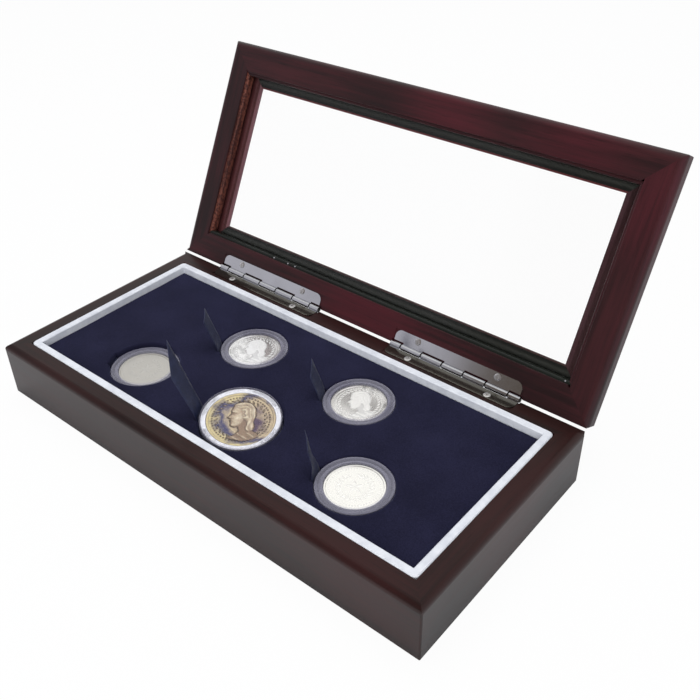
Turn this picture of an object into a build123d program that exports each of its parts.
"""A wooden coin display case with a hinged, glazed lid, drawn with its lid standing open.

The case is a shallow box of four mitred rails. Its tray holds a foam insert covered in velvet,
with five round wells. Each well holds a clear two-part capsule with a coin in it, and a ribbon
that lifts the capsule out. The lid is a mitred frame round a glass pane, and hangs on two butt
hinges with rolled knuckles.

Units are millimetres. The origin is the centre of the underside. +X runs along the long side,
+Y points to the hinges and +Z points up.
"""

from build123d import *

import os
from dataclasses import dataclass
from math import cos, radians, sin

# ---- Driving dimensions ------------------------------------------------------------------------

case_width = 240.0
case_depth = 112.8
rim_height = 27.4
rail_foot = 0.3  # the rails stand this far clear of the table, on the felt
base_wall = 9.1
edge_round = 3.0  # the rounded long arrises of base and lid
edge_ease = 0.4  # every other arris is only eased
corner_round = 0.8

floor_thickness = 3.0
floor_rabbet = 4.5
felt_thickness = 0.8
felt_margin = 0.6

liner_thickness = 3.4
liner_proud = 0.4
liner_corner = 2.2
insert_gap = 0.1
velvet_thickness = 0.8
velvet_drop = 3.0  # from the rim down to the velvet

lid_thickness = 10.3
lid_gap = 1.0  # between rim and lid when shut
lid_open_angle = 116.5
lid_long_rabbet = 13.9  # from the outer edge of a long rail to its glazing rabbet
lid_end_rabbet = 12.7
lid_sight_width = 19.8  # from the outer edge to the sight edge
sight_flat = 0.8
sight_bevel = 2.8
pane_depth = 4.7  # from the lid's inner face to the glass
pane_thickness = 2.0
pane_gap = 0.3
bead_width = 1.4
bead_drop = 0.9  # the beads stop this far short of the lid's inner face
bead_round = 0.8

hinge_centres = (-57.4, 55.3)
hinge_length = 68.0
lid_leaf_length = 66.6
leaf_reach = 7.3  # from the pin's axis to the leaf's free edge
leaf_thickness = 0.5
leaf_let_in = 0.25
leaf_corner = 3.2
barrel_radius = 1.4
barrel_behind = 0.3  # the pin's axis lies this far behind the back of the case
barrel_clearance = 0.3
leaf_cut_back = 2.1  # a leaf stays this far from the pin beside the other leaf's knuckles
knuckle_gap = 0.7
knuckle_blend = 0.5
leaf_lap = 0.5  # how far a knuckle's tail runs into its leaf
seam_width = 0.15
pin_radius = 0.85
pin_play = 0.05
pin_head_radius = 1.15
pin_head_height = 0.35

screw_spacing = 42.0
screw_from_pin = 5.2
screw_head_radius = 1.6
screw_dome = 0.18
screw_land_radius = 1.1  # the flat top of the head, wider than its recess
screw_shank_radius = 0.9
screw_length = 6.0
screw_seat_play = 0.05
recess_span = 1.9
recess_width = 0.4
recess_depth = 0.5

well_play = 0.4
ribbon_thickness = 0.35
ribbon_width = 8.0
ribbon_play = 0.35
ribbon_fold = 0.5
ribbon_curve = 12.0
ribbon_tab = 12.0
notch_play = 0.4
shell_play = 0.05
shell_ease = 0.5
coin_rim_width = 0.9
coin_rim_height = 0.15


@dataclass(frozen=True)
class Capsule:
    """One size of coin capsule, as radii and heights."""

    radius: float
    thickness: float
    window: float  # the clear plastic above and below the coin
    cavity_radius: float
    coin_radius: float
    coin_thickness: float
    ring_radius: float = 0.0  # the bore of a spacer ring, where there is one

    @property
    def joint_radius(self) -> float:
        """Where the upper shell's skirt meets the lower shell's spigot."""
        return (self.radius + self.cavity_radius) / 2


@dataclass(frozen=True)
class Well:
    """One capsule in its well, with the ribbon that stands beside it."""

    capsule: Capsule
    x: float  # the centre of the capsule's top face
    y: float
    top: float  # and its height above the rim
    ribbon_angle: float
    ribbon_rise: float  # the ribbon's pointed end, above the rim
    ribbon_lean: float
    ribbon_cut: float  # how far the slanting cut runs down to the ribbon's other edge
    tilt: float = 0.0
    tilt_angle: float = 0.0

    @property
    def seat(self) -> Plane:
        """The plane of the capsule's top face."""
        lean = radians(self.tilt)
        turn = radians(self.tilt_angle)
        normal = (sin(lean) * cos(turn), sin(lean) * sin(turn), cos(lean))
        return Plane(origin=(self.x, self.y, rim_height + self.top), z_dir=normal)

    @property
    def centre(self) -> Vector:
        """The middle of the capsule, which is also the middle of its well."""
        return self.seat.origin - self.seat.z_dir * (self.capsule.thickness / 2)

    @property
    def half_span(self) -> float:
        """How far the capsule reaches from its middle, seen from above."""
        lean = radians(self.tilt)
        return self.capsule.radius * cos(lean) + self.capsule.thickness / 2 * sin(lean)

    @property
    def floor(self) -> float:
        """The height on which the capsule's lowest edge rests."""
        lean = radians(self.tilt)
        drop = self.capsule.thickness * cos(lean) + self.capsule.radius * sin(lean)
        return rim_height + self.top - drop

    @property
    def ribbon_distance(self) -> float:
        """From the middle of the well to the middle of the ribbon's thickness."""
        return self.half_span + ribbon_play + ribbon_thickness / 2


small_capsule = Capsule(15.75, 5.6, 1.8, 12.35, 12.15, 1.75)
large_capsule = Capsule(17.4, 6.0, 1.8, 16.4, 14.6, 2.15, ring_radius=14.7)

wells = (
    Well(small_capsule, -60.0, -22.5, -4.8, 205.0, -4.9, 0.0, 2.0),
    Well(small_capsule, -29.6, 17.9, -3.2, 215.0, 15.3, 6.2, 3.0),
    Well(large_capsule, 4.0, -24.0, -0.3, 204.0, 30.4, 13.6, 9.0, tilt=9.0, tilt_angle=-33.0),
    Well(small_capsule, 33.4, 17.8, -3.2, 205.0, 12.8, 5.5, 4.7),
    Well(small_capsule, 64.2, -22.8, -3.2, 198.0, 15.2, 3.7, 4.0),
)

# ---- Derived positions -------------------------------------------------------------------------

half_width = case_width / 2
half_depth = case_depth / 2
tray_half_width = half_width - base_wall
tray_half_depth = half_depth - base_wall
floor_top = felt_thickness + floor_thickness
velvet_top = rim_height - velvet_drop
core_top = velvet_top - velvet_thickness
insert_width = 2 * (tray_half_width - liner_thickness - insert_gap)
insert_depth = 2 * (tray_half_depth - liner_thickness - insert_gap)

open_angle = radians(lid_open_angle)
pin_drop = lid_gap / 2  # from the pin's axis to either wooden face
pin_centre = Vector(0, half_depth + barrel_behind, rim_height + pin_drop)
lid_along = Vector(0, -cos(open_angle), sin(open_angle))  # from the hinges to the lid's front
lid_inward = Vector(0, -sin(open_angle), -cos(open_angle))  # out of the lid's inner face
lid_back_edge = pin_centre + lid_along * barrel_behind - lid_inward * pin_drop
lid_face = Plane(origin=lid_back_edge + lid_along * half_depth, x_dir=(1, 0, 0), z_dir=lid_inward)

os.makedirs("parts", exist_ok=True)


def save(piece: BuildPart, name: str) -> None:
    """Label a finished piece and write it under its own name."""
    piece.part.label = name
    export_step(piece.part, f"parts/{name}.step")


# ---- Mitred frames -----------------------------------------------------------------------------

frame_sides = {"front": (0, -1), "back": (0, 1), "left": (-1, 0), "right": (1, 0)}
frame_overrun = 5.0
frame_reach = 25.0


@dataclass(frozen=True)
class MitredFrame:
    """A rectangular frame of four rails, centred on a plane, with mitres at 45 degrees."""

    plane: Plane
    half_x: float
    half_y: float
    corner: float

    def section_plane(self, side: tuple) -> Plane:
        """A plane across one rail: x runs inwards from its outer edge and y along the normal."""
        outward = self.plane.x_dir * side[0] + self.plane.y_dir * side[1]
        across = self.plane.x_dir * (side[0] * self.half_x)
        along = self.plane.y_dir * (side[1] * self.half_y)
        normal = (outward * -1).cross(self.plane.z_dir)
        return Plane(origin=self.plane.origin + across + along, x_dir=outward * -1, z_dir=normal)

    def mitre_outline(self, side: tuple) -> list:
        """The plan of one rail, wide of its outer edge and cut by both mitres."""
        left, right = [(side[0] or s * side[1], side[1] or -s * side[0]) for s in (-1, 1)]
        out, back = frame_overrun, -frame_reach
        corners = [(left, out), (right, out), (right, back), (left, back)]
        return [(a * (self.half_x + over), b * (self.half_y + over)) for (a, b), over in corners]

    def rail(self, side: tuple, outline: list, rounds: dict) -> BuildPart:
        """Draw the section of one rail, round the listed corners and mitre both ends."""
        half_length = self.half_x if side[1] else self.half_y
        with BuildPart() as rail:
            with BuildSketch(self.section_plane(side)) as section:
                with BuildLine():
                    Polyline(*outline, close=True)
                make_face()
                for corner, radius in rounds.items():
                    fillet(section.vertices().sort_by_distance((*outline[corner], 0))[0], radius)
            extrude(amount=half_length, both=True)
            with BuildSketch(self.plane):
                with BuildLine():
                    Polyline(*self.mitre_outline(side), close=True)
                make_face()
                RectangleRounded(2 * self.half_x, 2 * self.half_y, self.corner, mode=Mode.INTERSECT)
            extrude(amount=2 * rim_height, both=True, mode=Mode.INTERSECT)
        return rail


# ---- Butt hinges -------------------------------------------------------------------------------

base_hinge_plane = Plane(origin=pin_centre, x_dir=(1, 0, 0), z_dir=(0, 0, 1))
lid_hinge_plane = Plane(origin=pin_centre, x_dir=(1, 0, 0), z_dir=lid_inward)
leaf_bed = -(pin_drop + leaf_let_in)  # the leaf's underside, from the pin's axis
leaf_top = leaf_bed + leaf_thickness
full_pitch = hinge_length / 6
knuckle_ends = [-hinge_length / 2]
knuckle_ends += [(i - 2.5) * full_pitch for i in range(6)]
knuckle_ends += [hinge_length / 2]


def hinge_room(plane: Plane, side: int) -> BuildPart:
    """The wood that both hinges displace: leaf beds, a rebate for the barrels and screw holes.

    The plane passes through the pin's axis, along the wood's face. side is the sign of the
    plane's y axis towards the leaf's free edge.
    """
    rebate_half = (hinge_length / 2) + pin_head_height + barrel_clearance
    with BuildPart() as room:
        with BuildSketch(plane.offset(leaf_bed)):
            for centre in hinge_centres:
                with Locations((centre, side * leaf_reach / 2)):
                    Rectangle(hinge_length, leaf_reach)
        extrude(amount=pin_drop)
        with BuildSketch(plane.offset(-(barrel_radius + barrel_clearance))):
            for centre in hinge_centres:
                with Locations((centre, side * leaf_cut_back / 2)):
                    Rectangle(2 * rebate_half, leaf_cut_back)
        extrude(amount=barrel_radius + barrel_clearance)
        with BuildSketch(plane.offset(leaf_top - screw_length)):
            for centre in hinge_centres:
                with Locations((centre, side * screw_from_pin)):
                    with GridLocations(screw_spacing, 1, 2, 1):
                        Circle(screw_shank_radius)
        extrude(amount=screw_length)
    return room


def hinge_leaf(plane: Plane, side: int, centre: float, length: float, first: int) -> BuildPart:
    """One leaf with every second knuckle, starting at the given one, rolled round the pin."""
    bore_radius = pin_radius + pin_play
    with BuildPart(plane.offset(leaf_top)) as leaf:
        with BuildSketch(plane.offset(leaf_bed)) as flat:
            with Locations((centre, side * (leaf_cut_back + leaf_reach) / 2)):
                Rectangle(length, leaf_reach - leaf_cut_back)
            fillet(flat.vertices().sort_by(Axis.Y, reverse=side > 0)[:2], leaf_corner)
        extrude(amount=leaf_thickness)
        for index in range(first, len(knuckle_ends) - 1, 2):
            low = knuckle_ends[index] + (knuckle_gap / 2 if index else 0)
            high = knuckle_ends[index + 1] - (knuckle_gap / 2 if index < len(knuckle_ends) - 2 else 0)
            middle = plane.origin + Vector(centre + (low + high) / 2, 0, 0)
            across = Plane(
                origin=middle, x_dir=plane.y_dir * side, z_dir=(plane.y_dir * side).cross(plane.z_dir)
            )
            with BuildSketch(across) as curl:
                Circle(barrel_radius)
                with Locations(((leaf_cut_back + leaf_lap) / 2, (leaf_bed + leaf_top) / 2)):
                    Rectangle(leaf_cut_back + leaf_lap, leaf_thickness)
                hollow = (barrel_radius**2 - leaf_bed**2) ** 0.5
                fillet(curl.vertices().sort_by_distance((hollow, leaf_bed, 0))[0], knuckle_blend)
                Circle(bore_radius, mode=Mode.SUBTRACT)
                seam_length = 2 * (barrel_radius - bore_radius) + leaf_lap
                with Locations((barrel_radius, leaf_top + seam_width / 2)):
                    Rectangle(seam_length, seam_width, mode=Mode.SUBTRACT)
            extrude(amount=(high - low) / 2, both=True)
        with Locations((centre, side * screw_from_pin)):
            with GridLocations(screw_spacing, 1, 2, 1):
                CounterSinkHole(
                    screw_shank_radius + screw_seat_play,
                    screw_head_radius + screw_seat_play,
                    depth=leaf_thickness,
                    counter_sink_angle=108.9,
                )
    return leaf


def hinge_pin(centre: float) -> BuildPart:
    """A plain pin that is riveted over at both ends, against the outer knuckles."""
    half = hinge_length / 2
    middle = pin_centre + Vector(centre, 0, 0)
    with BuildPart() as pin:
        with BuildSketch(Plane(origin=middle, x_dir=(1, 0, 0), z_dir=(0, -1, 0))):
            with BuildLine():
                Polyline(
                    (-half - pin_head_height, 0),
                    (-half - pin_head_height, pin_radius),
                    (-half, pin_head_radius),
                    (-half, pin_radius),
                    (half, pin_radius),
                    (half, pin_head_radius),
                    (half + pin_head_height, pin_radius),
                    (half + pin_head_height, 0),
                    close=True,
                )
            make_face()
        revolve(axis=Axis(pin_centre, (1, 0, 0)))
    return pin


with BuildPart() as screw:
    with BuildSketch(Plane.XZ):
        with BuildLine():
            Polyline(
                (0, screw_dome),
                (0, -screw_length),
                (screw_shank_radius, -screw_length),
                (screw_shank_radius, -leaf_thickness),
                (screw_head_radius, 0),
                (screw_land_radius, screw_dome),
                close=True,
            )
        make_face()
    revolve(axis=Axis.Z)
    with BuildSketch(Plane.XY.offset(screw_dome)):
        Rectangle(recess_span, recess_width)
        Rectangle(recess_width, recess_span)
    extrude(amount=-recess_depth, mode=Mode.SUBTRACT)


def hinge_screws(plane: Plane, side: int) -> BuildPart:
    """The four screws that hold one side of both hinges."""
    with BuildPart(plane.offset(leaf_top)) as screws:
        for centre in hinge_centres:
            with Locations((centre, side * screw_from_pin)):
                with GridLocations(screw_spacing, 1, 2, 1):
                    add(screw.part)
    return screws


for number, hinge_centre in enumerate(hinge_centres, start=1):
    save(hinge_leaf(base_hinge_plane, -1, hinge_centre, hinge_length, 0), f"hinge_{number}_base_leaf")
    save(hinge_leaf(lid_hinge_plane, 1, hinge_centre, lid_leaf_length, 1), f"hinge_{number}_lid_leaf")
    save(hinge_pin(hinge_centre), f"hinge_{number}_pin")
save(hinge_screws(base_hinge_plane, -1), "base_hinge_screws")
save(hinge_screws(lid_hinge_plane, 1), "lid_hinge_screws")

# ---- Base rails, floor and felt ----------------------------------------------------------------

base_frame = MitredFrame(Plane.XY, half_width, half_depth, corner_round)
base_section = [
    (0, rail_foot),
    (base_wall - floor_rabbet, rail_foot),
    (base_wall - floor_rabbet, floor_top),
    (base_wall, floor_top),
    (base_wall, rim_height),
    (0, rim_height),
]
base_hinge_room = hinge_room(base_hinge_plane, -1)

for name, side in frame_sides.items():
    top_round = edge_ease if name == "back" else edge_round
    base_rail = base_frame.rail(side, base_section, {0: edge_ease, 4: edge_ease, 5: top_round})
    if name == "back":
        with base_rail:
            add(base_hinge_room.part, mode=Mode.SUBTRACT)
    save(base_rail, f"base_{name}_rail")

with BuildPart() as floor_panel:
    with BuildSketch(Plane.XY.offset(felt_thickness)):
        Rectangle(2 * (tray_half_width + floor_rabbet), 2 * (tray_half_depth + floor_rabbet))
    extrude(amount=floor_thickness)
save(floor_panel, "floor_panel")

with BuildPart() as felt_pad:
    with BuildSketch(Plane.XY):
        RectangleRounded(
            2 * (tray_half_width + floor_rabbet - felt_margin),
            2 * (tray_half_depth + floor_rabbet - felt_margin),
            liner_corner,
        )
    extrude(amount=felt_thickness)
save(felt_pad, "felt_pad")

# ---- Tray: liner, foam insert and velvet -------------------------------------------------------

with BuildPart() as tray_liner:
    with BuildSketch(Plane.XY.offset(floor_top)):
        RectangleRounded(2 * tray_half_width, 2 * tray_half_depth, liner_corner)
        Rectangle(
            2 * (tray_half_width - liner_thickness),
            2 * (tray_half_depth - liner_thickness),
            mode=Mode.SUBTRACT,
        )
    extrude(amount=rim_height + liner_proud - floor_top)
    chamfer(tray_liner.faces().sort_by(Axis.Z)[-1].edges(), liner_proud)
save(tray_liner, "tray_liner")


def well_room(well: Well) -> BuildPart:
    """What one well takes out of the insert: a round pocket, a ribbon notch and a tab groove."""
    notch_end = well.ribbon_distance + ribbon_thickness / 2 + notch_play
    notch_start = well.ribbon_distance - ribbon_tab - notch_play
    notch_length = notch_end - notch_start
    centre = (well.centre.X, well.centre.Y)
    with BuildPart() as room:
        with BuildSketch(Plane.XY.offset(well.floor)):
            with Locations(centre):
                Circle(well.half_span + well_play)
                with PolarLocations(notch_end - notch_length / 2, 1, start_angle=well.ribbon_angle):
                    Rectangle(notch_length, ribbon_width + 2 * notch_play)
        extrude(amount=rim_height - well.floor)
        with BuildSketch(Plane.XY.offset(well.floor)):
            with Locations(centre):
                with PolarLocations(notch_end - notch_length / 2, 1, start_angle=well.ribbon_angle):
                    Rectangle(notch_length, ribbon_width + 2 * notch_play)
        extrude(amount=-ribbon_thickness)
    return room


well_rooms = [well_room(well) for well in wells]

with BuildPart() as insert_core:
    with BuildSketch(Plane.XY.offset(floor_top)):
        Rectangle(insert_width, insert_depth)
    extrude(amount=core_top - floor_top)
    for room in well_rooms:
        add(room.part, mode=Mode.SUBTRACT)
save(insert_core, "insert_core")

with BuildPart() as velvet_panel:
    with BuildSketch(Plane.XY.offset(core_top)):
        Rectangle(insert_width, insert_depth)
    extrude(amount=velvet_thickness)
    for room in well_rooms:
        add(room.part, mode=Mode.SUBTRACT)
save(velvet_panel, "velvet_panel")


def pull_ribbon(well: Well) -> BuildPart:
    """A ribbon with a tab under the capsule, a fold up the well's wall and a slantwise cut end."""
    turn = radians(well.ribbon_angle)
    outward = Vector(cos(turn), sin(turn), 0)
    foot = well.floor - ribbon_thickness / 2
    path = [(well.ribbon_distance - ribbon_tab, foot), (well.ribbon_distance, foot)]
    bends = [ribbon_fold]
    if well.ribbon_lean:
        path.append((well.ribbon_distance, velvet_top))
        bends.append(ribbon_curve)
    path.append((well.ribbon_distance + well.ribbon_lean, rim_height + well.ribbon_rise))
    upright = Plane(
        origin=(well.centre.X, well.centre.Y, 0), x_dir=outward, z_dir=outward.cross(Vector(0, 0, 1))
    )
    with BuildPart() as ribbon:
        with BuildSketch(upright):
            with BuildLine():
                FilletPolyline(*path, radius=bends)
            trace(line_width=ribbon_thickness)
        extrude(amount=ribbon_width / 2, both=True)
        run = (outward * (path[-1][0] - path[-2][0]) + Vector(0, 0, path[-1][1] - path[-2][1])).normalized()
        tip = upright.from_local_coords(Vector(*path[-1], ribbon_width / 2))
        slant = run * ribbon_width - upright.z_dir * well.ribbon_cut
        split(bisect_by=Plane(origin=tip, z_dir=slant), keep=Keep.BOTTOM)
    return ribbon


for number, well in enumerate(wells, start=1):
    save(pull_ribbon(well), f"pull_ribbon_{number}")

# ---- Capsules and coins ------------------------------------------------------------------------


def turned(seat: Plane, outline: list, eased: tuple = ()) -> BuildPart:
    """Turn a half section, drawn as (radius, height) below a capsule's top face."""
    half_plane = Plane(origin=seat.origin, x_dir=seat.x_dir, z_dir=seat.x_dir.cross(seat.z_dir))
    with BuildPart() as piece:
        with BuildSketch(half_plane) as section:
            with BuildLine():
                Polyline(*outline, close=True)
            make_face()
            for corner in eased:
                chamfer(section.vertices().sort_by_distance((*outline[corner], 0))[0], shell_ease)
        revolve(axis=Axis(seat.origin, seat.z_dir))
    return piece


def lower_shell(well: Well) -> BuildPart:
    """The capsule's lower half, with a spigot round the coin's cavity."""
    kind = well.capsule
    outline = [
        (0, -kind.thickness),
        (kind.radius, -kind.thickness),
        (kind.radius, -kind.thickness / 2),
        (kind.joint_radius, -kind.thickness / 2),
        (kind.joint_radius, -kind.window),
        (kind.cavity_radius, -kind.window),
        (kind.cavity_radius, kind.window - kind.thickness),
        (0, kind.window - kind.thickness),
    ]
    return turned(well.seat, outline, (1,))


def upper_shell(well: Well) -> BuildPart:
    """The capsule's upper half, with a skirt that presses over the spigot."""
    kind = well.capsule
    outline = [
        (0, 0),
        (kind.radius, 0),
        (kind.radius, -kind.thickness / 2),
        (kind.joint_radius + shell_play, -kind.thickness / 2),
        (kind.joint_radius + shell_play, -kind.window),
        (0, -kind.window),
    ]
    return turned(well.seat, outline, (1,))


def coin(well: Well) -> BuildPart:
    """A coin blank with a raised rim on both faces, lying on the cavity's floor."""
    kind = well.capsule
    low = kind.window - kind.thickness
    high = low + kind.coin_thickness
    rim = kind.coin_radius - coin_rim_width
    outline = [
        (0, low + coin_rim_height),
        (rim, low + coin_rim_height),
        (rim, low),
        (kind.coin_radius, low),
        (kind.coin_radius, high),
        (rim, high),
        (rim, high - coin_rim_height),
        (0, high - coin_rim_height),
    ]
    return turned(well.seat, outline)


def spacer_ring(well: Well) -> BuildPart:
    """A soft ring that fills the cavity round a coin smaller than it."""
    kind = well.capsule
    low = kind.window - kind.thickness
    outline = [
        (kind.ring_radius, low),
        (kind.cavity_radius - shell_play, low),
        (kind.cavity_radius - shell_play, -kind.window),
        (kind.ring_radius, -kind.window),
    ]
    return turned(well.seat, outline)


for number, well in enumerate(wells, start=1):
    save(lower_shell(well), f"capsule_{number}_lower_shell")
    save(upper_shell(well), f"capsule_{number}_upper_shell")
    save(coin(well), f"coin_{number}")
    if well.capsule.ring_radius:
        save(spacer_ring(well), f"capsule_{number}_ring")

# ---- Lid rails, pane and beads -----------------------------------------------------------------

lid_frame = MitredFrame(lid_face, half_width, half_depth, corner_round)
pane_floor = -(pane_depth + pane_thickness)
lid_hinge_room = hinge_room(lid_hinge_plane, 1)

for name, side in frame_sides.items():
    # The lid's own y axis runs away from the hinges, so its back rail is on the negative side.
    lid_side = (side[0], -side[1])
    rabbet = lid_long_rabbet if side[1] else lid_end_rabbet
    lid_section = [
        (0, 0),
        (rabbet, 0),
        (rabbet, pane_floor),
        (lid_sight_width, pane_floor),
        (lid_sight_width, pane_floor - sight_flat),
        (lid_sight_width - sight_bevel, -lid_thickness),
        (0, -lid_thickness),
    ]
    inner_round = edge_ease if name == "back" else edge_round
    lid_rail = lid_frame.rail(lid_side, lid_section, {0: inner_round, 1: edge_ease, 6: edge_round})
    if name == "back":
        with lid_rail:
            add(lid_hinge_room.part, mode=Mode.SUBTRACT)
    save(lid_rail, f"lid_{name}_rail")

with BuildPart() as glass_pane:
    with BuildSketch(lid_face.offset(pane_floor)):
        Rectangle(
            2 * (half_width - lid_end_rabbet - pane_gap), 2 * (half_depth - lid_long_rabbet - pane_gap)
        )
    extrude(amount=pane_thickness)
save(glass_pane, "glass_pane")

bead_frame = MitredFrame(
    lid_face, half_width - lid_end_rabbet, half_depth - lid_long_rabbet, edge_ease
)
bead_section = [(0, -bead_drop), (bead_width, -bead_drop), (bead_width, -pane_depth), (0, -pane_depth)]
for name, side in frame_sides.items():
    lid_side = (side[0], -side[1])
    save(bead_frame.rail(lid_side, bead_section, {1: bead_round}), f"pane_bead_{name}")
